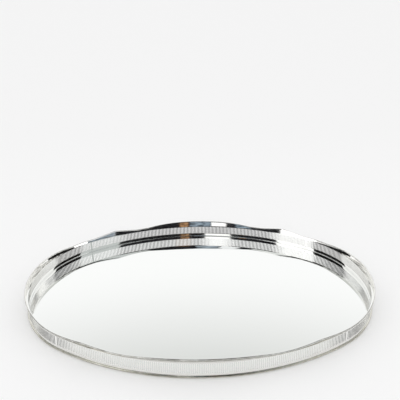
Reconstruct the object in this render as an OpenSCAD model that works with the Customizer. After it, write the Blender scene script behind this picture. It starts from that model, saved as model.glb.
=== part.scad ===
// Oval gallery tray in silver plate: a flat floor inside an upright pierced gallery.
// +Z is up, +X runs along the length, and the origin is under the middle of the floor.
// The outline is a four-centre oval: two long side arcs joined to two tighter end arcs.

/* [Floor] */
// Length of the floor between the gallery's inner faces
floor_l = 552; // [500:1:640]
// Width of the floor between the gallery's inner faces
floor_w = 364; // [330:1:420]
// Half of the angle that each long side arc covers
side_half_angle = 30.5; // [27:0.5:34]
// Thickness of the floor plate
plate_t = 1.5; // [1.2:0.1:2.5]

/* [Gallery] */
// Thickness of the gallery strip
gallery_t = 1; // [0.8:0.1:1.4]
// Height of the plain band under the slots, above the floor
lower_band_h = 6.3; // [4:0.1:9]
// Height of a slot
slot_h = 15; // [10:0.5:19]
// Width of a slot
slot_w = 1.5; // [1.1:0.1:2.2]
// Width of the bar between two slots
bar_w = 1.3; // [1:0.1:2]
// Height of the narrow strip that closes the slots at the top
top_strip_h = 1.2; // [0.8:0.1:3]
// Angle by which the slotted band leans inwards, from upright
gallery_lean = 5; // [0:0.5:8]
// Plain length left at both ends of each gallery section, for its soldered joint
joint_land = 1.6; // [1.2:0.1:4]

/* [Border] */
// Thickness that the border adds outside the gallery strip
border_extra_t = 0.7; // [0.5:0.1:1.2]
// Height of the border's foot that laps the outside of the gallery
lap_h = 0.9; // [0.5:0.1:1.2]
// Angle by which the border leans outwards, from upright
border_lean = 21; // [0:1:35]
// Height of the border in its valleys, above the gallery
valley_h = 4; // [3:0.1:7]
// Rise of the smooth crest in the middle of each section, above the valleys
crest_rise = 5.6; // [2:0.1:8]
// Length of a side's crest, from valley to valley
side_crest_l = 200; // [150:1:220]
// Length of an end's crest, from valley to valley
end_crest_l = 204; // [150:1:230]
// How full the crests are: 2 is a plain bow, and more is flatter on top
crest_fullness = 2.6; // [2:0.1:4]
// Rise of the pointed peaks, above the valleys
peak_rise = 5; // [2:0.1:7]
// Length of a peak, from valley to valley
peak_l = 76; // [50:1:90]
// How hollow the peaks' flanks are: 1 is straight
peak_hollow = 1.2; // [1:0.1:2]
// Angle of the peaks from the middle of a side, about that side's centre
peak_angle = 23.5; // [20:0.5:25]

/* [Base wire] */
// Radius of the half-round wire around the foot of the gallery
wire_r = 1.6; // [1.2:0.1:2.5]

/* [Hidden] */
$fn = 180;

// Cuts run past the faces that they cut by this much
past = 1;
// Angle by which the wire's end arcs run into its side arcs, so that it is one loop
wire_overlap = 0.02;
// Longest step along the shaped top edge
edge_step = 4.5;

// The oval's half axes, and the radii of its side and end arcs
half_l = floor_l / 2;
half_w = floor_w / 2;
oval_det = sin(side_half_angle) + cos(side_half_angle) - 1;
side_r = (half_l * cos(side_half_angle) - half_w * (1 - sin(side_half_angle))) / oval_det;
end_r = (half_w * sin(side_half_angle) - half_l * (1 - cos(side_half_angle))) / oval_det;
end_half_angle = 90 - side_half_angle;
side_centre = side_r - half_w;
end_centre = half_l - end_r;
join_x = side_r * sin(side_half_angle);

// Heights above the surface that the tray stands on
slot_z = plate_t + lower_band_h;
gallery_top = slot_z + slot_h + top_strip_h;
valley_z = gallery_top + valley_h;
border_top = valley_z + max(crest_rise, peak_rise);
// Plain height between the bend in the strip and the slots
bend_gap = 0.8;
bend_z = slot_z - bend_gap;
// How far the gallery's top edge stands in from its foot
waist = (gallery_top - bend_z) * tan(gallery_lean);
slot_pitch = slot_w + bar_w;

// Puts a section that is drawn around +X at its place on the oval
module at_right() translate([end_centre, 0, 0]) children();
module at_left() rotate([0, 0, 180]) at_right() children();
module at_back() translate([0, -side_centre, 0]) rotate([0, 0, 90]) children();
module at_front() rotate([0, 0, 180]) at_back() children();

// Sweeps a profile of radius and height through an arc that is centred on +X
module arc_sweep(half_angle) {
    rotate([0, 0, -half_angle])
        rotate_extrude(angle = 2 * half_angle)
            children();
}

// The solid oval, grown outwards by grow
module oval_slab(grow, h) {
    for (side = [-1, 1])
        translate([side * end_centre, 0, 0])
            cylinder(r = end_r + grow, h = h);
    intersection() {
        translate([0, side_centre, 0]) cylinder(r = side_r + grow, h = h);
        translate([0, -side_centre, 0]) cylinder(r = side_r + grow, h = h);
        translate([-join_x, -floor_w, 0]) cube([2 * join_x, 2 * floor_w, h]);
    }
}

// Flat floor, which the gallery stands on
module floor_plate() {
    color("gainsboro") oval_slab(gallery_t, plate_t);
}

// Half-round section of the base wire, flat against the gallery
module wire_profile(r) {
    translate([r + gallery_t, wire_r])
        intersection() {
            circle(r = wire_r);
            translate([0, -wire_r]) square([wire_r, 2 * wire_r]);
        }
}

// Half-round wire that runs around the foot of the gallery
module base_wire() {
    color("silver") {
        at_front() arc_sweep(side_half_angle) wire_profile(side_r);
        at_back() arc_sweep(side_half_angle) wire_profile(side_r);
        at_left() arc_sweep(end_half_angle + wire_overlap) wire_profile(end_r);
        at_right() arc_sweep(end_half_angle + wire_overlap) wire_profile(end_r);
    }
}

// Section of the gallery: upright at the foot, then bent to lean inwards along the slots
module gallery_profile(r) {
    polygon([
        [r, plate_t],
        [r + gallery_t, plate_t],
        [r + gallery_t, bend_z],
        [r + gallery_t - waist, gallery_top],
        [r - waist, gallery_top],
        [r, bend_z]
    ]);
}

// One gallery section: a pierced strip with a row of slots
module gallery_section(r, half_angle) {
    pitch_angle = slot_pitch / (r + gallery_t / 2) * 180 / PI;
    land_angle = joint_land / r * 180 / PI;
    slots = floor((2 * (half_angle - land_angle) - slot_w / r * 180 / PI) / pitch_angle) + 1;
    color("lightsteelblue")
        difference() {
            arc_sweep(half_angle) gallery_profile(r);
            for (i = [0 : slots - 1])
                rotate([0, 0, (i - (slots - 1) / 2) * pitch_angle])
                    translate([r - waist - past, -slot_w / 2, slot_z])
                        cube([waist + gallery_t + 2 * past, slot_w, slot_h]);
        }
}

module gallery_front() at_front() gallery_section(side_r, side_half_angle);
module gallery_back() at_back() gallery_section(side_r, side_half_angle);
module gallery_left() at_left() gallery_section(end_r, end_half_angle);
module gallery_right() at_right() gallery_section(end_r, end_half_angle);

// Section of the border: it stands on the gallery, laps its outside and leans outwards
module border_profile(r) {
    foot_r = r - waist;
    border_t = gallery_t + border_extra_t;
    uncut_top = border_top + past;
    lean = (uncut_top - gallery_top) * tan(border_lean);
    lap_r = foot_r + gallery_t + lap_h * tan(gallery_lean);
    polygon([
        [foot_r, gallery_top],
        [foot_r + lean, uncut_top],
        [foot_r + lean + border_t, uncut_top],
        [foot_r + border_t, gallery_top],
        [lap_r + border_extra_t, gallery_top - lap_h],
        [lap_r, gallery_top - lap_h],
        [foot_r + gallery_t, gallery_top]
    ]);
}

// The outline from -1 to 1 of a full, smooth crest, and of a pointed peak with hollow flanks
function crest_curve(t) = 1 - pow(abs(t), crest_fullness);
function peak_curve(t) = pow(1 - abs(t), peak_hollow);

// A crest or a peak of the top edge: it stands on the valley line and reaches a little below it
module rise_block(l, depth, curve) {
    steps = ceil(l / 2 / edge_step);
    linear_extrude(depth)
        polygon(concat(
            [[l / 2, -past], [-l / 2, -past]],
            [for (i = [-steps : steps]) [l / 2 * i / steps, curve(i / steps)]]
        ));
}

// The block that the border is kept within: its top is the shaped edge, seen from the side
module edge_block(reach, depth, crest_l, peaks) {
    foot_z = gallery_top - lap_h - past;
    translate([-reach, foot_z]) cube([2 * reach, valley_z - foot_z, depth]);
    translate([0, valley_z])
        rise_block(crest_l, depth, function(t) crest_rise * crest_curve(t));
    for (x = peaks)
        translate([x, valley_z])
            rise_block(peak_l, depth, function(t) peak_rise * peak_curve(t));
}

// One border section, with its top edge cut to shape
module border_section(r, half_angle, crest_l, peaks) {
    inner_x = (r - waist) * cos(half_angle) - border_top;
    color("whitesmoke")
        intersection() {
            arc_sweep(half_angle) border_profile(r);
            translate([inner_x, 0, 0])
                rotate([90, 0, 90])
                    edge_block(r + border_top, r + border_top - inner_x, crest_l, peaks);
        }
}

side_peak = side_r * sin(peak_angle);
module side_border() {
    border_section(side_r, side_half_angle, side_crest_l, [-side_peak, side_peak]);
}
module end_border() {
    border_section(end_r, end_half_angle, end_crest_l, []);
}

module border_front() at_front() side_border();
module border_back() at_back() side_border();
module border_left() at_left() end_border();
module border_right() at_right() end_border();

floor_plate();
base_wire();
gallery_front();
gallery_back();
gallery_left();
gallery_right();
border_front();
border_back();
border_left();
border_right();
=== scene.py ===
import math

import bmesh
import bpy
from mathutils import Euler, Matrix, Vector, noise


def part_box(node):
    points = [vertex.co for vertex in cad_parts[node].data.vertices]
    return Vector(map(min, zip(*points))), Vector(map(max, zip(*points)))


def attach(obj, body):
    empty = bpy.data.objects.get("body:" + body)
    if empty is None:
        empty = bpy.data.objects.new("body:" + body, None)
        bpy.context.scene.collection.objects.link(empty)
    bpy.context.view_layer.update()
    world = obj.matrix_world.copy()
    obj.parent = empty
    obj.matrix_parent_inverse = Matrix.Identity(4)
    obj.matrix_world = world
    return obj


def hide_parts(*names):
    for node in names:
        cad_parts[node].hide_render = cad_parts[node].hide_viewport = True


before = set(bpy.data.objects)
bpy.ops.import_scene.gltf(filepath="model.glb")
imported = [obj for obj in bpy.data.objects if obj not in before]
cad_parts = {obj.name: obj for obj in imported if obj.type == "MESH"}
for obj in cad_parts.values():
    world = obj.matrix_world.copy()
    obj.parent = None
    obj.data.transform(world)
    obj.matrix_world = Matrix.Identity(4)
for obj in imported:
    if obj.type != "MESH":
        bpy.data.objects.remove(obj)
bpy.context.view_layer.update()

mm = 0.001

# The oval's plan: two long side arcs and two tighter end arcs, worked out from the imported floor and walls
oval = {
    "sideHalfAngle": math.radians(30.5),  # half of what a side arc covers
    "sheet": 1.0 * mm,                    # thickness of the gallery strip, which stands on the plate's edge
}
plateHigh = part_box("floor_plate")[1]
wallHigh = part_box("gallery_back")[1]
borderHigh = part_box("border_back")[1]
halfLength = plateHigh.x - oval["sheet"]
halfWidth = plateHigh.y - oval["sheet"]
sideSin, sideCos = math.sin(oval["sideHalfAngle"]), math.cos(oval["sideHalfAngle"])
ovalShare = sideSin + sideCos - 1
sideRadius = (halfLength * sideCos - halfWidth * (1 - sideSin)) / ovalShare
endRadius = (halfWidth * sideSin - halfLength * (1 - sideCos)) / ovalShare
endHalfAngle = math.pi / 2 - oval["sideHalfAngle"]
sideCentre = sideRadius - halfWidth
endCentre = halfLength - endRadius
floorTop = plateHigh.z
galleryTop = wallHigh.z

# Each section is made around +X and then turned to its own side of the oval
sections = {
    "right": (endRadius, endHalfAngle, Matrix.Translation((endCentre, 0, 0))),
    "left": (endRadius, endHalfAngle,
             Matrix.Rotation(math.pi, 4, "Z") @ Matrix.Translation((endCentre, 0, 0))),
    "back": (sideRadius, oval["sideHalfAngle"],
             Matrix.Translation((0, -sideCentre, 0)) @ Matrix.Rotation(math.pi / 2, 4, "Z")),
    "front": (sideRadius, oval["sideHalfAngle"],
              Matrix.Translation((0, sideCentre, 0)) @ Matrix.Rotation(-math.pi / 2, 4, "Z")),
}


# ---- helpers for meshes

def newPiece(name, mesh, material):
    piece = bpy.data.objects.new(name, mesh)
    bpy.context.scene.collection.objects.link(piece)
    if material is not None:
        mesh.materials.append(material)
    return piece


def settle(piece):
    # the modifiers' result becomes the piece's plain mesh
    bpy.context.view_layer.update()
    graph = bpy.context.evaluated_depsgraph_get()
    shown = piece.evaluated_get(graph)
    made = bpy.data.meshes.new_from_object(shown, preserve_all_data_layers=True, depsgraph=graph)
    piece.modifiers.clear()
    piece.data = made
    made.name = piece.name


def softenEdges(piece, width, segments=2, sharpFrom=38):
    # small round edges, with the flat faces kept flat in their shading
    piece.data.shade_smooth()
    bevel = piece.modifiers.new("softEdges", "BEVEL")
    bevel.limit_method = "ANGLE"
    bevel.angle_limit = math.radians(sharpFrom)
    bevel.width = width
    bevel.segments = segments
    bevel.use_clamp_overlap = True
    shading = piece.modifiers.new("flatShading", "WEIGHTED_NORMAL")
    shading.keep_sharp = True
    shading.weight = 80
    settle(piece)


def loftMesh(name, rings):
    # rings of the same number of points, each a closed loop, joined one to the next and closed at both ends
    build = bmesh.new()
    made = [[build.verts.new(point) for point in ring] for ring in rings]
    count = len(rings[0])
    for near, far in zip(made, made[1:]):
        for i in range(count):
            j = (i + 1) % count
            build.faces.new((near[i], near[j], far[j], far[i]))
    build.faces.new(list(reversed(made[0])))
    build.faces.new(made[-1])
    bmesh.ops.recalc_face_normals(build, faces=build.faces)
    mesh = bpy.data.meshes.new(name)
    build.to_mesh(mesh)
    build.free()
    return mesh


def ride(piece, slotName, *nodes):
    # one rigid body carries the whole tray
    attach(piece, "root")
    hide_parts(*nodes)


# ---- helpers for node trees

def feed(tree, socket, value):
    if isinstance(value, bpy.types.NodeSocket):
        tree.links.new(value, socket)
    else:
        socket.default_value = value


def addNode(tree, kind, inputs=None, **settings):
    node = tree.nodes.new(kind)
    for key, value in settings.items():
        setattr(node, key, value)
    for key, value in (inputs or {}).items():
        feed(tree, node.inputs[key], value)
    return node


def calc(tree, operation, *values):
    return addNode(tree, "ShaderNodeMath", dict(enumerate(values)), operation=operation).outputs[0]


def newTree(name, kind, inputs, outputs):
    tree = bpy.data.node_groups.new(name, kind)
    for label, socketKind, value in inputs:
        made = tree.interface.new_socket(label, in_out="INPUT", socket_type="NodeSocket" + socketKind)
        if value is not None:
            made.default_value = value
    for label, socketKind in outputs:
        tree.interface.new_socket(label, in_out="OUTPUT", socket_type="NodeSocket" + socketKind)
    return tree


def runTree(piece, tree, values):
    # inputs are set by their identifiers before the piece is first evaluated
    live = piece.modifiers.new(tree.name, "NODES")
    live.node_group = tree
    for item in tree.interface.items_tree:
        if item.item_type == "SOCKET" and item.in_out == "INPUT" and item.name in values:
            live[item.identifier] = values[item.name]
    settle(piece)
    piece.data.materials.clear()
    piece.data.materials.append(values["Material"])


# ---- shared shader groups: they give masks, colours, roughness values and heights

marksLook = {
    "turns": (12, 74, 131),      # directions of the hair scratches, in degrees
    "stretch": 0.03,             # how narrow a scratch is against its length
    "apart": (3.7, 1.9),         # moves each direction's scratches away from the others
    "hairRange": (0.60, 0.74),   # noise values between which a scratch deepens
    "strength": 0.05,
    "depth": 0.02 * mm,
    "patchScale": 22.0,
    "patchRange": (0.45, 0.75),  # noise values between which a rubbed patch fades in
}

filmLook = {
    "scale": 90.0,
    "range": (0.35, 0.70),       # noise values between which the film thickens
    "thinnest": 0.35,            # share of the film that is left where it is thinnest
    "roughness": 0.14,           # what a full film adds to the silver's roughness
}


def polishMarksGroup():
    # fine hair scratches in three directions and soft hand-rubbed patches
    tree = newTree("polishMarks", "ShaderNodeTree",
                   [("Vector", "Vector", None), ("Scale", "Float", 900.0), ("Base", "Float", 0.03),
                    ("Hairs", "Float", 0.04), ("Patches", "Float", 0.02)],
                   [("Roughness", "Float"), ("Height", "Float")])
    given = addNode(tree, "NodeGroupInput").outputs
    hairs = None
    apartX, apartY = marksLook["apart"]
    hairFrom, hairTo = marksLook["hairRange"]
    patchFrom, patchTo = marksLook["patchRange"]
    for number, turn in enumerate(marksLook["turns"]):
        turned = addNode(tree, "ShaderNodeMapping",
                         {"Vector": given["Vector"], "Rotation": (0, 0, math.radians(turn)),
                          "Scale": (1.0, marksLook["stretch"], 1.0),
                          "Location": (number * apartX, number * apartY, 0)})
        strands = addNode(tree, "ShaderNodeTexNoise",
                          {"Vector": turned.outputs["Vector"], "Scale": given["Scale"], "Detail": 2.0})
        sharp = addNode(tree, "ShaderNodeMapRange",
                        {"Value": strands.outputs["Fac"], "From Min": hairFrom,
                         "From Max": hairTo}).outputs["Result"]
        hairs = sharp if hairs is None else calc(tree, "MAXIMUM", hairs, sharp)
    cloudy = addNode(tree, "ShaderNodeTexNoise",
                     {"Vector": given["Vector"], "Scale": marksLook["patchScale"], "Detail": 4.0,
                      "Roughness": 0.6}).outputs["Fac"]
    patch = addNode(tree, "ShaderNodeMapRange",
                    {"Value": cloudy, "From Min": patchFrom, "From Max": patchTo}).outputs["Result"]
    rough = calc(tree, "MULTIPLY_ADD", hairs, given["Hairs"], given["Base"])
    rough = calc(tree, "MULTIPLY_ADD", patch, given["Patches"], rough)
    addNode(tree, "NodeGroupOutput", {"Roughness": rough, "Height": hairs})
    return tree


def tarnishAndShadeGroup():
    # the thin warm grey film that silver takes where a cloth doesn't reach, fading with height; a second
    # input lays the same dark colour on as painted shade
    tree = newTree("tarnishAndShade", "ShaderNodeTree",
                   [("Vector", "Vector", None), ("Full", "Float", 0.0), ("Gone", "Float", 0.004),
                    ("Amount", "Float", 0.5), ("Polished", "Color", (0.9, 0.9, 0.88, 1)),
                    ("Tarnish and shade colour", "Color", (0.55, 0.5, 0.38, 1)), ("Shade and tarnish", "Float", 0.0)],
                   [("Color", "Color"), ("Mask", "Float")])
    given = addNode(tree, "NodeGroupInput").outputs
    height = addNode(tree, "ShaderNodeSeparateXYZ", {"Vector": given["Vector"]}).outputs["Z"]
    ramp = addNode(tree, "ShaderNodeMapRange",
                   {"Value": height, "From Min": given["Full"], "From Max": given["Gone"],
                    "To Min": 1.0, "To Max": 0.0}, interpolation_type="SMOOTHSTEP").outputs["Result"]
    blotch = addNode(tree, "ShaderNodeTexNoise",
                     {"Vector": given["Vector"], "Scale": filmLook["scale"], "Detail": 5.0,
                      "Roughness": 0.65}).outputs["Fac"]
    thinAt, thickAt = filmLook["range"]
    uneven = addNode(tree, "ShaderNodeMapRange",
                     {"Value": blotch, "From Min": thinAt, "From Max": thickAt,
                      "To Min": filmLook["thinnest"], "To Max": 1.0}).outputs["Result"]
    mask = calc(tree, "MULTIPLY", calc(tree, "MULTIPLY", ramp, uneven), given["Amount"])
    # painted shade: the second input darkens faces whatever their height
    mask = calc(tree, "MAXIMUM", mask, calc(tree, "MULTIPLY", given["Shade and tarnish"], uneven))
    mixed = addNode(tree, "ShaderNodeMix", {0: mask, 6: given["Polished"], 7: given["Tarnish and shade colour"]},
                    data_type="RGBA")
    addNode(tree, "NodeGroupOutput", {"Color": mixed.outputs[2], "Mask": mask})
    return tree


polishMarks = polishMarksGroup()
tarnishAndShade = tarnishAndShadeGroup()


def silver(name, polished, tarnishAndShadeColour, filmFull, filmGone, filmAmount,
           roughness, hairs, patches, markScale, dents, dentScale):
    # mirror-polished silver plate: marks drive the roughness, and a slow ripple bends what it mirrors.
    # filmFull and filmGone are the heights between which the film thins out to nothing
    material = bpy.data.materials.new(name)
    material.use_nodes = True
    tree = material.node_tree
    tree.nodes.clear()
    spot = addNode(tree, "ShaderNodeTexCoord").outputs["Object"]
    marks = addNode(tree, "ShaderNodeGroup",
                    {"Vector": spot, "Scale": markScale, "Base": roughness, "Hairs": hairs,
                     "Patches": patches}, node_tree=polishMarks).outputs
    # faces with the shade attribute get the dark colour too: painted shade in the gallery's slots, over some
    # tarnish, and a painted reflection of the shaded table on the border's outside
    shadeAndTarnish = addNode(tree, "ShaderNodeAttribute", attribute_name="shadeAndTarnish").outputs["Fac"]
    filmAndShade = addNode(tree, "ShaderNodeGroup",
                   {"Vector": spot, "Full": filmFull, "Gone": filmGone, "Amount": filmAmount,
                    "Polished": polished, "Tarnish and shade colour": tarnishAndShadeColour, "Shade and tarnish": shadeAndTarnish},
                   node_tree=tarnishAndShade).outputs
    rough = calc(tree, "MULTIPLY_ADD", filmAndShade["Mask"], filmLook["roughness"], marks["Roughness"])
    ripple = addNode(tree, "ShaderNodeTexNoise",
                     {"Vector": spot, "Scale": dentScale, "Detail": 1.0}).outputs["Fac"]
    waves = addNode(tree, "ShaderNodeBump", {"Height": ripple, "Strength": 1.0, "Distance": dents})
    fine = addNode(tree, "ShaderNodeBump",
                   {"Height": marks["Height"], "Strength": marksLook["strength"],
                    "Distance": marksLook["depth"], "Normal": waves.outputs["Normal"]})
    shader = addNode(tree, "ShaderNodeBsdfPrincipled",
                     {"Base Color": filmAndShade["Color"], "Metallic": 1.0, "Roughness": rough,
                      "Normal": fine.outputs["Normal"]})
    addNode(tree, "ShaderNodeOutputMaterial", {"Surface": shader.outputs["BSDF"]})
    return material


# ---- floor plate: a nearly flat mirror, with a thin fillet of solder where the gallery stands

floorLook = {
    "rings": 46,             # rings of faces from the middle to the edge
    "crowding": 0.85,        # under 1, the rings crowd together towards the edge
    "around": 288,           # faces round the oval
    "fillet": 0.9 * mm,      # radius of the solder fillet
    "filletSteps": 6,
    "filletBack": 0.03 * mm, # how far inside the wall the fillet's back stands
    "swell": 0.02 * mm,      # height of the sheet's slow swells
    "swellLength": 0.11,     # their length
    "swellStart": Vector((3.1, 7.7, 0.4)),   # where in the noise they begin
    "swellsEnd": 0.9,        # share of the way out from which they fade to nothing
    "edge": 0.25 * mm,       # rounding of the plate's edges
    "underRings": (0.97, 0.9, 0.75, 0.5, 0.25),
}

floorSilver = silver(
    "floorSilver", polished=(0.935, 0.945, 0.935, 1), tarnishAndShadeColour=(0.62, 0.60, 0.52, 1),
    filmFull=floorTop + floorLook["fillet"], filmGone=floorTop + floorLook["fillet"] / 4, filmAmount=0.35,
    roughness=0.018, hairs=0.03, patches=0.008, markScale=700.0, dents=0.0004 * mm, dentScale=14.0)


def ovalPoint(turn, grow):
    # turn is the direction of the outline's outward normal, and grow moves the point along it
    across, along = math.cos(turn), math.sin(turn)
    if abs(across) <= sideSin:
        centre, radius = Vector((0, -math.copysign(sideCentre, along))), sideRadius
    else:
        centre, radius = Vector((math.copysign(endCentre, across), 0)), endRadius
    return centre + (radius + grow) * Vector((across, along))


def ovalTurns(count):
    # as many points on each arc as its share of the outline, so that every joint has a point
    sideShare = sideRadius * oval["sideHalfAngle"]
    endShare = endRadius * endHalfAngle
    onSide = max(2, round(count / 2 * sideShare / (sideShare + endShare)))
    onEnd = max(2, round(count / 2 * endShare / (sideShare + endShare)))
    arcs = ((0, endHalfAngle, onEnd), (math.pi / 2, oval["sideHalfAngle"], onSide),
            (math.pi, endHalfAngle, onEnd), (3 * math.pi / 2, oval["sideHalfAngle"], onSide))
    turns = []
    for middle, half, steps in arcs:
        turns += [middle - half + 2 * half * i / steps for i in range(steps)]
    return turns


def makeFloor():
    turns = ovalTurns(floorLook["around"])
    fillet, edge, sheet = floorLook["fillet"], floorLook["edge"], oval["sheet"]
    filletSteps, filletBack = floorLook["filletSteps"], floorLook["filletBack"]
    swellsEnd = floorLook["swellsEnd"]
    build = bmesh.new()

    def swell(x, y):
        spot = Vector((x, y, 0)) / floorLook["swellLength"]
        return floorLook["swell"] * noise.noise(spot + floorLook["swellStart"])

    middle = build.verts.new((0, 0, floorTop + swell(0, 0)))
    loops = []
    for ring in range(1, floorLook["rings"] + 1):
        share = (ring / floorLook["rings"]) ** floorLook["crowding"]
        fade = 1 - max(0.0, (share - swellsEnd) / (1 - swellsEnd))
        loop = []
        for turn in turns:
            x, y = ovalPoint(turn, -fillet) * share
            loop.append(build.verts.new((x, y, floorTop + swell(x, y) * fade)))
        loops.append(loop)
    # fillet up the wall, down behind it, out under the gallery, and round the plate's edge
    outline = []
    for step in range(1, filletSteps + 1):
        bend = math.pi / 2 * step / filletSteps
        outline.append((-fillet + fillet * math.sin(bend), floorTop + fillet * (1 - math.cos(bend))))
    outline += [(filletBack, floorTop + fillet), (filletBack, floorTop)]
    # how far in the middle point of a rounded edge lies
    corner = edge * 0.3
    outline += [(sheet - edge, floorTop), (sheet - corner, floorTop - corner), (sheet, floorTop - edge),
                (sheet, edge), (sheet - corner, corner), (sheet - edge, 0.0)]
    for grow, height in outline:
        loops.append([build.verts.new((*ovalPoint(turn, grow), height)) for turn in turns])
    for share in floorLook["underRings"]:
        loops.append([build.verts.new((*(ovalPoint(turn, 0) * share), 0.0)) for turn in turns])
    under = build.verts.new((0, 0, 0))
    count = len(turns)
    for i in range(count):
        j = (i + 1) % count
        build.faces.new((middle, loops[0][i], loops[0][j]))
        build.faces.new((under, loops[-1][j], loops[-1][i]))
    for near, far in zip(loops, loops[1:]):
        for i in range(count):
            j = (i + 1) % count
            build.faces.new((near[i], far[i], far[j], near[j]))
    bmesh.ops.recalc_face_normals(build, faces=build.faces)
    mesh = bpy.data.meshes.new("floorPlate")
    build.to_mesh(mesh)
    build.free()
    mesh.shade_smooth()
    mesh.set_sharp_from_angle(angle=math.radians(50))
    piece = newPiece("floorPlate", mesh, floorSilver)
    ride(piece, "floor_silver", "floor_plate")


makeFloor()
print("floor plate made")


# ---- base wire: half-round, swept round the foot of the gallery

wireLook = {"radius": 1.6 * mm, "around": 420, "facets": 14}

# the wire is painted darker than the rest and darkest at the table: painted contact shade at the foot, over
# some tarnish
wireSilver = silver(
    "wireSilver", polished=(0.80, 0.79, 0.74, 1), tarnishAndShadeColour=(0.36, 0.34, 0.25, 1),
    filmFull=0.8 * mm, filmGone=5.2 * mm, filmAmount=0.95,
    roughness=0.06, hairs=0.06, patches=0.08, markScale=1400.0, dents=0.01 * mm, dentScale=60.0)


def sweptWireTree():
    tree = newTree("sweptWire", "GeometryNodeTree",
                   [("Geometry", "Geometry", None), ("Radius", "Float", 0.0016), ("Facets", "Int", 14),
                    ("Material", "Material", None)], [("Geometry", "Geometry")])
    given = addNode(tree, "NodeGroupInput").outputs
    path = addNode(tree, "GeometryNodeMeshToCurve", {"Mesh": given["Geometry"]}).outputs["Curve"]
    upright = addNode(tree, "GeometryNodeSetCurveNormal", {"Curve": path}, mode="Z_UP").outputs["Curve"]
    half = addNode(tree, "GeometryNodeCurveArc",
                   {"Resolution": given["Facets"], "Radius": given["Radius"], "Start Angle": -math.pi / 2,
                    "Sweep Angle": math.pi, "Connect Center": True}, mode="RADIUS").outputs["Curve"]
    swept = addNode(tree, "GeometryNodeCurveToMesh",
                    {"Curve": upright, "Profile Curve": half, "Fill Caps": False}).outputs["Mesh"]
    whole = addNode(tree, "GeometryNodeRealizeInstances", {"Geometry": swept}).outputs["Geometry"]
    done = addNode(tree, "GeometryNodeSetMaterial", {"Geometry": whole, "Material": given["Material"]})
    addNode(tree, "NodeGroupOutput", {"Geometry": done.outputs["Geometry"]})
    return tree


def makeWire():
    turns = ovalTurns(wireLook["around"])
    path = bpy.data.meshes.new("baseWire")
    points = [(*ovalPoint(turn, oval["sheet"]), wireLook["radius"]) for turn in turns]
    path.from_pydata(points, [(i, (i + 1) % len(points)) for i in range(len(points))], [])
    piece = newPiece("baseWire", path, None)
    runTree(piece, sweptWireTree(), {"Radius": wireLook["radius"], "Facets": wireLook["facets"],
                                     "Material": wireSilver})
    piece.data.shade_smooth()
    piece.data.set_sharp_from_angle(angle=math.radians(50))
    ride(piece, "wire_silver", "base_wire")


makeWire()
print("base wire made")


# ---- gallery: upright at the foot, bent to lean inwards, and pierced with a row of slots

galleryLook = {
    "slot": 1.5 * mm,
    "bar": 1.3 * mm,
    "slotHeight": 15 * mm,
    "topStrip": 1.2 * mm,
    "land": 1.6 * mm,           # plain length at both ends
    "lean": math.radians(5),    # the slotted band's lean
    "bendBelowSlots": 0.8 * mm,
    "bendRadius": 7 * mm,
    "bendSteps": 4,
    "softEdge": 0.12 * mm,
    "weld": 0.02 * mm,          # points nearer than this become one
    "shadeAndTarnish": 0.4,           # painted shade on the slots' walls, over some tarnish
}

gallerySilver = silver(
    "gallerySilver", polished=(0.92, 0.918, 0.898, 1), tarnishAndShadeColour=(0.42, 0.40, 0.33, 1),
    filmFull=floorTop, filmGone=floorTop + 5 * mm, filmAmount=0.16,
    roughness=0.03, hairs=0.05, patches=0.05, markScale=1200.0, dents=0.006 * mm, dentScale=45.0)

slotBottom = galleryTop - galleryLook["topStrip"] - galleryLook["slotHeight"]
bendHeight = slotBottom - galleryLook["bendBelowSlots"]
waist = (galleryTop - bendHeight) * math.tan(galleryLook["lean"])


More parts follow.
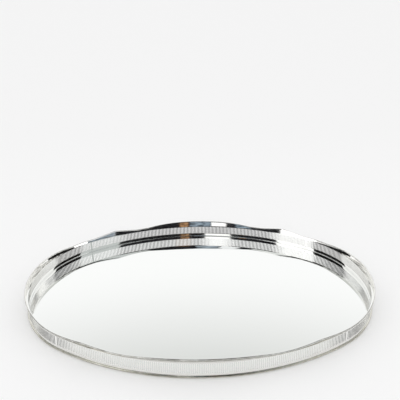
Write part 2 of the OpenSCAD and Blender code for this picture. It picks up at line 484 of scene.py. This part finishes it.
def slottedStripTree():
    # a flat grid is pierced, wrapped on its arc with the profile's offsets, and thickened outwards
    tree = newTree("slottedStrip", "GeometryNodeTree",
                   [("Geometry", "Geometry", None), ("Arc radius", "Float", 0.4),
                    ("Half angle", "Float", 0.5), ("Slots", "Int", 150), ("Slot width", "Float", 0.0015),
                    ("Pitch", "Float", 0.0028),
                    ("Slot row", "Int", 6), ("Thickness", "Float", 0.001), ("Shade and tarnish", "Float", 0.8),
                    ("Material", "Material", None)],
                   [("Geometry", "Geometry")])
    given = addNode(tree, "NodeGroupInput").outputs
    rows = addNode(tree, "GeometryNodeAttributeDomainSize",
                   {"Geometry": given["Geometry"]}).outputs["Point Count"]
    columns = calc(tree, "MULTIPLY_ADD", given["Slots"], 2.0, 2.0)
    grid = addNode(tree, "GeometryNodeMeshGrid",
                   {"Vertices X": columns, "Vertices Y": rows}).outputs["Mesh"]
    index = addNode(tree, "GeometryNodeInputIndex").outputs["Index"]

    column = calc(tree, "FLOOR", calc(tree, "DIVIDE", calc(tree, "ADD", index, 0.5), rows))
    row = calc(tree, "SUBTRACT", index, calc(tree, "MULTIPLY", column, rows))
    slot = calc(tree, "FLOOR", calc(tree, "MULTIPLY", calc(tree, "SUBTRACT", column, 0.5), 0.5))
    side = calc(tree, "SUBTRACT", calc(tree, "SUBTRACT", column, 1.0), calc(tree, "MULTIPLY", slot, 2.0))
    lastSlot = calc(tree, "SUBTRACT", given["Slots"], 1.0)
    fromMiddle = calc(tree, "SUBTRACT", slot, calc(tree, "MULTIPLY", lastSlot, 0.5))
    along = calc(tree, "ADD", calc(tree, "MULTIPLY", fromMiddle, given["Pitch"]),
                 calc(tree, "MULTIPLY", calc(tree, "SUBTRACT", side, 0.5), given["Slot width"]))
    angle = calc(tree, "DIVIDE", along, given["Arc radius"])
    first = calc(tree, "LESS_THAN", column, 0.5)
    last = calc(tree, "GREATER_THAN", column, calc(tree, "SUBTRACT", columns, 1.5))
    firstAngle = calc(tree, "MULTIPLY", given["Half angle"], -1.0)
    angle = addNode(tree, "GeometryNodeSwitch", {"Switch": first, "False": angle, "True": firstAngle},
                    input_type="FLOAT").outputs["Output"]
    angle = addNode(tree, "GeometryNodeSwitch", {"Switch": last, "False": angle, "True": given["Half angle"]},
                    input_type="FLOAT").outputs["Output"]

    profile = addNode(tree, "GeometryNodeSampleIndex",
                      {"Geometry": given["Geometry"], "Index": row,
                       "Value": addNode(tree, "GeometryNodeInputPosition").outputs["Position"]},
                      data_type="FLOAT_VECTOR", domain="POINT").outputs["Value"]
    offset = addNode(tree, "ShaderNodeSeparateXYZ", {"Vector": profile}).outputs
    reach = calc(tree, "ADD", given["Arc radius"], offset["X"])
    wrapped = addNode(tree, "ShaderNodeCombineXYZ",
                      {"X": calc(tree, "MULTIPLY", reach, calc(tree, "COSINE", angle)),
                       "Y": calc(tree, "MULTIPLY", reach, calc(tree, "SINE", angle)),
                       "Z": offset["Z"]}).outputs["Vector"]
    strip = addNode(tree, "GeometryNodeSetPosition",
                    {"Geometry": grid, "Position": wrapped}).outputs["Geometry"]

    faceRows = calc(tree, "SUBTRACT", rows, 1.0)
    faceColumn = calc(tree, "FLOOR", calc(tree, "DIVIDE", calc(tree, "ADD", index, 0.5), faceRows))
    faceRow = calc(tree, "SUBTRACT", index, calc(tree, "MULTIPLY", faceColumn, faceRows))
    odd = calc(tree, "FLOORED_MODULO", faceColumn, 2.0)
    inRow = calc(tree, "COMPARE", faceRow, given["Slot row"], 0.1)
    pierced = addNode(tree, "GeometryNodeDeleteGeometry",
                      {"Geometry": strip, "Selection": calc(tree, "MULTIPLY", odd, inRow)},
                      domain="FACE").outputs["Geometry"]

    thick = addNode(tree, "GeometryNodeExtrudeMesh",
                    {"Mesh": pierced, "Offset Scale": given["Thickness"], "Individual": False},
                    mode="FACES").outputs
    # the side faces of the thickened strip, the slots' walls and the strip's edges, carry painted shade over
    # some tarnish
    outer = addNode(tree, "GeometryNodeStoreNamedAttribute",
                    {"Geometry": thick["Mesh"], "Selection": thick["Side"], "Name": "shadeAndTarnish",
                     "Value": given["Shade and tarnish"]}, data_type="FLOAT", domain="FACE").outputs["Geometry"]
    inner = addNode(tree, "GeometryNodeFlipFaces", {"Mesh": pierced}).outputs["Mesh"]
    joined = addNode(tree, "GeometryNodeJoinGeometry")
    tree.links.new(inner, joined.inputs[0])
    tree.links.new(outer, joined.inputs[0])
    closed = addNode(tree, "GeometryNodeMergeByDistance",
                     {"Geometry": joined.outputs[0], "Distance": galleryLook["weld"]}).outputs["Geometry"]
    whole = addNode(tree, "GeometryNodeRealizeInstances", {"Geometry": closed}).outputs["Geometry"]
    done = addNode(tree, "GeometryNodeSetMaterial", {"Geometry": whole, "Material": given["Material"]})
    addNode(tree, "NodeGroupOutput", {"Geometry": done.outputs["Geometry"]})
    return tree


def galleryProfile():
    # the strip's inner face from the foot up, as offset and height
    lean, bend, steps = galleryLook["lean"], galleryLook["bendRadius"], galleryLook["bendSteps"]
    half = bend * math.tan(lean / 2)
    points = [(0, floorTop), (0, floorTop + (bendHeight - half - floorTop) / 2), (0, bendHeight - half)]
    for step in range(1, steps + 1):
        turned = lean * step / steps
        points.append((-bend * (1 - math.cos(turned)), bendHeight - half + bend * math.sin(turned)))
    slotRow = len(points)
    for height in (slotBottom, slotBottom + galleryLook["slotHeight"], galleryTop):
        points.append((-(height - bendHeight) * math.tan(lean), height))
    return points, slotRow


def makeGalleries():
    tree = slottedStripTree()
    points, slotRow = galleryProfile()
    pitch = galleryLook["slot"] + galleryLook["bar"]
    for where, (radius, halfAngle, place) in sections.items():
        middleRadius = radius + oval["sheet"] / 2
        room = 2 * (halfAngle - galleryLook["land"] / radius) - galleryLook["slot"] / radius
        slots = math.floor(room / (pitch / middleRadius)) + 1
        strip = bpy.data.meshes.new("gallery")
        strip.from_pydata([(offset, 0, height) for offset, height in points],
                          [(i, i + 1) for i in range(len(points) - 1)], [])
        name = "gallery" + where.capitalize()
        piece = newPiece(name, strip, None)
        runTree(piece, tree, {"Arc radius": radius, "Half angle": halfAngle, "Slots": slots,
                              "Slot width": galleryLook["slot"], "Pitch": pitch * radius / middleRadius,
                              "Slot row": slotRow, "Thickness": oval["sheet"],
                              "Shade and tarnish": galleryLook["shadeAndTarnish"], "Material": gallerySilver})
        piece.data.transform(place)
        softenEdges(piece, galleryLook["softEdge"])
        ride(piece, "gallery_silver", "gallery_" + where)
        print(name, slots, "slots", len(piece.data.polygons), "faces")


makeGalleries()


# ---- border: stands on the gallery, laps its outside, leans outwards, and has a shaped top edge

borderLook = {
    "extra": 0.7 * mm,              # how much thicker than the gallery strip
    "lap": 0.9 * mm,
    "lapUpright": 0.75,             # share of the lap above its rounded foot
    "lapRound": 0.2 * mm,
    "footLean": math.radians(18.5), # the lean grows from the foot to the top of a crest
    "topLean": math.radians(24),
    "crestRise": 5.6 * mm,
    "peakRise": 5.0 * mm,
    "crestFullness": 2.6,
    "peakHollow": 1.2,
    "peakLength": 76 * mm,
    "peakFromJoint": 43.7 * mm,     # from a peak's point to the nearest joint
    "sideValley": 22 * mm,
    "endValley": 24.5 * mm,
    "peakTip": 3 * mm,              # length over which a peak's point is rounded
    "step": 1.5 * mm,               # spacing of the sections along the edge
    "edgeRise": 1.2 * mm,           # height over which the top edge is rounded
    "faceSteps": 8,
    "edgeSteps": 8,
    "shadeAndTarnish": 0.9,               # dark film painted on the outer half of the top edge and on the upper outside: painted reflection of the shade at the tray's foot
    "shadePoints": 8,                # points of the section that carry it
}

borderSilver = silver(
    "borderSilver", polished=(0.93, 0.925, 0.905, 1), tarnishAndShadeColour=(0.34, 0.335, 0.30, 1),
    filmFull=galleryTop - 1.2 * mm, filmGone=galleryTop + 1 * mm, filmAmount=0.15,
    roughness=0.028, hairs=0.05, patches=0.04, markScale=1100.0, dents=0.006 * mm, dentScale=40.0)


def topEdge(across, crestHalf, peaks):
    # height of the top edge at a distance from the section's middle
    rise = 0.0
    if abs(across) < crestHalf:
        rise = borderLook["crestRise"] * (1 - (abs(across) / crestHalf) ** borderLook["crestFullness"])
    for peak in peaks:
        away = math.hypot(across - peak, borderLook["peakTip"] / 2) - borderLook["peakTip"] / 2
        if away < borderLook["peakLength"] / 2:
            share = 1 - away / (borderLook["peakLength"] / 2)
            rise = max(rise, borderLook["peakRise"] * share ** borderLook["peakHollow"])
    return borderHigh.z - max(borderLook["crestRise"], borderLook["peakRise"]) + rise


def borderReach(height):
    # how far out the flared face stands at a height above the gallery
    low, high = math.tan(borderLook["footLean"]), math.tan(borderLook["topLean"])
    return low * height + (high - low) * height ** 2 / (2 * (borderHigh.z - galleryTop))


def borderRing(radius, angle, top):
    # the section at one place: up the inner face, round the top edge, down the outside and over the lap
    foot = radius - waist
    thick = oval["sheet"] + borderLook["extra"]
    lapSpread = borderLook["lap"] * math.tan(galleryLook["lean"])
    edgeRound = thick / 2
    edgeRise = borderLook["edgeRise"]
    faceSteps, edgeSteps = borderLook["faceSteps"], borderLook["edgeSteps"]
    straight = top - galleryTop - edgeRise
    shares = [i / faceSteps for i in range(faceSteps + 1)]
    points = [(foot + borderReach(straight * share), galleryTop + straight * share) for share in shares]
    for step in range(1, edgeSteps):
        swing = math.pi * step / edgeSteps
        points.append((foot + borderReach(straight) + edgeRound * (1 - math.cos(swing)),
                       galleryTop + straight + edgeRise * math.sin(swing)))
    points += [(foot + borderReach(straight * share) + thick, galleryTop + straight * share)
               for share in reversed(shares)]
    points += [(foot + lapSpread + thick, galleryTop - borderLook["lap"] * borderLook["lapUpright"]),
               (foot + lapSpread + thick - borderLook["lapRound"], galleryTop - borderLook["lap"]),
               (foot + lapSpread + oval["sheet"], galleryTop - borderLook["lap"]),
               (foot + oval["sheet"], galleryTop)]
    return [(reach * math.cos(angle), reach * math.sin(angle), height) for reach, height in points]


def makeBorders():
    joint = sideRadius * sideSin
    peak = joint - borderLook["peakFromJoint"]
    sideCrest = peak - borderLook["peakLength"] / 2 - borderLook["sideValley"]
    endCrest = endRadius * sideCos - borderLook["endValley"]
    edgeMiddle = borderLook["faceSteps"] + borderLook["edgeSteps"] // 2
    outside = range(edgeMiddle, edgeMiddle + borderLook["shadePoints"])
    for where, (radius, halfAngle, place) in sections.items():
        onSide = where in ("front", "back")
        crestHalf = sideCrest if onSide else endCrest
        peaks = (-peak, peak) if onSide else ()
        steps = math.ceil(2 * halfAngle * radius / borderLook["step"])
        rings = []
        for i in range(steps + 1):
            angle = halfAngle * (2 * i / steps - 1)
            rings.append(borderRing(radius, angle, topEdge(radius * math.sin(angle), crestHalf, peaks)))
        name = "border" + where.capitalize()
        mesh = loftMesh(name, rings)
        # painted reflection of shade: the border's outer top edge and upper outside carry a dark film share
        filmAndShade = mesh.attributes.new("shadeAndTarnish", "FLOAT", "POINT")
        count = len(rings[0])
        filmAndShade.data.foreach_set("value", [borderLook["shadeAndTarnish"] * (i % count in outside)
                                        for i in range(len(mesh.vertices))])
        mesh.transform(place)
        piece = newPiece(name, mesh, borderSilver)
        mesh.shade_smooth()
        mesh.set_sharp_from_angle(angle=math.radians(35))
        ride(piece, "border_silver", "border_" + where)
        print(name, len(mesh.polygons), "faces")


makeBorders()


# ---- stage: a white table, and a room of white and dark cards that only the silver sees

stageLook = {
    "tableRadius": 14.0,
    "tableSides": 96,
    "tableRoughness": 0.9,
    "tableSheen": 0.1,
    "nearLitGrey": 0.958,                   # the table in front of the tray, lighter: painted light
    "farShadedGrey": 0.925,                    # and well behind it, darker: painted falloff of light
    "fadeFrom": -0.3,
    "fadeTo": 0.9,
    "backdrop": (0.895, 0.895, 0.90, 1),
    "tentFront": (0.93, 0.93, 0.93),     # what lights the table: a white tent, brighter behind the tray
    "tentBack": (1.05, 1.05, 1.05),
}


def makeTable():
    mesh = bpy.data.meshes.new("table")
    build = bmesh.new()
    bmesh.ops.create_circle(build, cap_ends=True, segments=stageLook["tableSides"],
                              radius=stageLook["tableRadius"])
    build.to_mesh(mesh)
    build.free()
    white = bpy.data.materials.new("tableWhite")
    white.use_nodes = True
    tree = white.node_tree
    shader = tree.nodes["Principled BSDF"]
    spot = addNode(tree, "ShaderNodeTexCoord").outputs["Object"]
    away = addNode(tree, "ShaderNodeSeparateXYZ", {"Vector": spot}).outputs["Y"]
    # painted shade: the table's colour darkens from the front to the back, where light falls off
    paintedFalloff = addNode(tree, "ShaderNodeMapRange",
                   {"Value": away, "From Min": stageLook["fadeFrom"], "From Max": stageLook["fadeTo"],
                    "To Min": stageLook["nearLitGrey"], "To Max": stageLook["farShadedGrey"]}).outputs["Result"]
    feed(tree, shader.inputs["Base Color"], paintedFalloff)
    shader.inputs["Roughness"].default_value = stageLook["tableRoughness"]
    shader.inputs["Specular IOR Level"].default_value = stageLook["tableSheen"]
    table = newPiece("table", mesh, white)


makeTable()

# The room as the silver sees it. Azimuth is in degrees from straight in front of the tray, positive to the
# right, and elevation is in degrees. Each card is (from, to, lowest, highest, colour)
roomLook = {
    "horizon": (1.03, 1.03, 1.03),      # the white tent low down
    "high": (0.64, 0.655, 0.635),       # the tent further up
    "fade": (42.5, 19),                 # middle and width of the change between them
    "overhead": (0.50, 0.51, 0.50),     # the dim ceiling
    "overheadFade": (68, 14),           # the same for the change up to the ceiling
    "cards": [
        (105, 255, 56, 68, (0.46, 0.47, 0.46)),      # the shaded top of the tent behind the tray
        (-33, 35, 0, 80, (0.016, 0.016, 0.018)),     # the dark end of the room, between the side windows
        (35, 63, 18, 80, (0.60, 0.63, 0.63)),        # grey wall to the right
        (49, 67, 0, 18, (1.5, 1.5, 1.5)),            # white skirting and a blue-grey door under it
        (35, 49, 0, 18, (0.24, 0.28, 0.32)),
        (24, 49, 0, 4.5, (1.05, 1.05, 1.05)),        # a white strip along the floor
        (-57, -33, 0, 66, (1.35, 1.35, 1.35)),       # bright softbox to the left
        (-57, -33, 66, 80, (0.80, 0.82, 0.82)),
        (67, 105, 0, 5.5, (0.010, 0.010, 0.010)),    # black flags at both sides, in three rows
        (-105, -57, 0, 5.5, (0.010, 0.010, 0.010)),
        (63, 105, 22, 43, (0.010, 0.010, 0.010)),
        (-105, -57, 22, 43, (0.010, 0.010, 0.010)),
        (63, 105, 62, 80, (0.012, 0.012, 0.012)),
        (-105, -57, 62, 80, (0.012, 0.012, 0.012)),
        (5, 8.3, 4, 35, (0.30, 0.17, 0.085)),        # a warm wooden door
        (-4.6, 4.2, 0, 20, (0.20, 0.25, 0.30)),      # bluish daylight through a blind
        (-20.6, -14.7, 0, 20, (0.20, 0.25, 0.30)),
        (-10.7, -4.7, 9, 20, (1.3, 1.3, 1.3)),       # a window
        (-13, -2, 20, 33.5, (1.25, 1.25, 1.25)),
        (-20, -17, 33, 36, (0.34, 0.20, 0.10)),      # more of the wood
        (-12, 4, 62, 80, (0.25, 0.29, 0.33)),        # the ceiling over the dark end
        (-25, -13, 62, 80, (0.95, 0.97, 0.99)),
    ],
    "softness": 1.0,                    # width of the cards' edges
    "clutter": 26.0,                    # noise scale of the small things in front of the cards
    "clutterNoise": (0.35, 0.68),       # noise values between which they change from dim to bright
    "clutterRange": (0.35, 1.9),        # how much they dim and brighten the dark cards
    "clutterBelow": 0.5,                # cards darker than this have them
}


def makeWorld():
    world = bpy.data.worlds.new("room")
    bpy.context.scene.world = world
    world.use_nodes = True
    tree = world.node_tree
    tree.nodes.clear()
    ray = addNode(tree, "ShaderNodeTexCoord").outputs["Generated"]
    axes = addNode(tree, "ShaderNodeSeparateXYZ", {"Vector": ray}).outputs
    toDegrees = 180 / math.pi
    elevation = calc(tree, "MULTIPLY", calc(tree, "ARCSINE", axes["Z"]), toDegrees)
    back = calc(tree, "MULTIPLY", axes["Y"], -1.0)
    azimuth = calc(tree, "MULTIPLY", calc(tree, "ARCTAN2", axes["X"], back), toDegrees)

    def step(value, edge, width):
        # 0 below the edge and 1 above it
        return addNode(tree, "ShaderNodeMapRange",
                       {"Value": value, "From Min": edge - width / 2, "From Max": edge + width / 2},
                       interpolation_type="SMOOTHSTEP").outputs["Result"]

    def blend(mask, under, over):
        mixed = addNode(tree, "ShaderNodeMix", {0: mask}, data_type="RGBA")
        for socket, colour in ((mixed.inputs[6], under), (mixed.inputs[7], over)):
            feed(tree, socket, colour if isinstance(colour, bpy.types.NodeSocket) else (*colour, 1))
        return mixed.outputs[2]

    def band(value, low, high):
        # 1 between the two edges and 0 outside them
        soft = roomLook["softness"]
        return calc(tree, "MULTIPLY", step(value, low, soft),
                    calc(tree, "SUBTRACT", 1.0, step(value, high, soft)))

    dimmest, brightest = roomLook["clutterRange"]
    dimAt, brightAt = roomLook["clutterNoise"]
    things = addNode(tree, "ShaderNodeTexNoise",
                     {"Vector": ray, "Scale": roomLook["clutter"], "Detail": 3.0})
    clutter = addNode(tree, "ShaderNodeMapRange",
                      {"Value": things.outputs["Fac"], "From Min": dimAt, "From Max": brightAt,
                       "To Min": dimmest, "To Max": brightest}).outputs["Result"]
    colour = blend(step(elevation, *roomLook["fade"]), roomLook["horizon"], roomLook["high"])
    colour = blend(step(elevation, *roomLook["overheadFade"]), colour, roomLook["overhead"])
    for left, right, low, high, card in roomLook["cards"]:
        around = calc(tree, "FLOORED_MODULO", azimuth, 360.0) if right > 180 else azimuth
        mask = calc(tree, "MULTIPLY", band(around, left, right), band(elevation, low, high))
        if max(card) < roomLook["clutterBelow"]:
            card = addNode(tree, "ShaderNodeVectorMath", {0: card, "Scale": clutter},
                           operation="SCALE").outputs[0]
        colour = blend(mask, colour, card)
    # 0 straight in front of the tray and 1 straight behind it
    behind = calc(tree, "MULTIPLY_ADD", axes["Y"], 0.5, 0.5)
    tent = addNode(tree, "ShaderNodeBackground",
                   {"Color": blend(behind, stageLook["tentFront"], stageLook["tentBack"])})
    room = addNode(tree, "ShaderNodeBackground", {"Color": colour})
    seen = addNode(tree, "ShaderNodeBackground", {"Color": stageLook["backdrop"]})
    path = addNode(tree, "ShaderNodeLightPath").outputs
    direct = calc(tree, "LESS_THAN", path["Diffuse Depth"], 0.5)
    mirrored = calc(tree, "MULTIPLY", path["Is Glossy Ray"], direct)
    lit = addNode(tree, "ShaderNodeMixShader", {0: mirrored, 1: tent.outputs[0], 2: room.outputs[0]})
    both = addNode(tree, "ShaderNodeMixShader",
                   {0: path["Is Camera Ray"], 1: lit.outputs[0], 2: seen.outputs[0]})
    addNode(tree, "ShaderNodeOutputWorld", {"Surface": both.outputs[0]})


makeWorld()
print("table and room made")


# ---- camera

cameraLook = {
    "place": (-0.0106, -0.6212, 0.4698),
    "down": 25.77,      # degrees below the horizon
    "turn": -0.98,      # degrees to the left, seen from above
    "roll": -0.24,
    "lens": 41.22,
    "sensor": 36,
}


def makeCamera():
    data = bpy.data.cameras.new("camera")
    data.lens = cameraLook["lens"]
    data.sensor_width = cameraLook["sensor"]
    camera = bpy.data.objects.new("camera", data)
    bpy.context.scene.collection.objects.link(camera)
    camera.location = cameraLook["place"]
    down, turn = math.radians(90 - cameraLook["down"]), math.radians(cameraLook["turn"])
    aim = Euler((down, 0, turn), "XYZ").to_matrix()
    camera.rotation_euler = (aim @ Matrix.Rotation(math.radians(cameraLook["roll"]), 3, "Z")).to_euler()
    bpy.context.scene.camera = camera


makeCamera()
bpy.context.scene.view_settings.view_transform = "Standard"
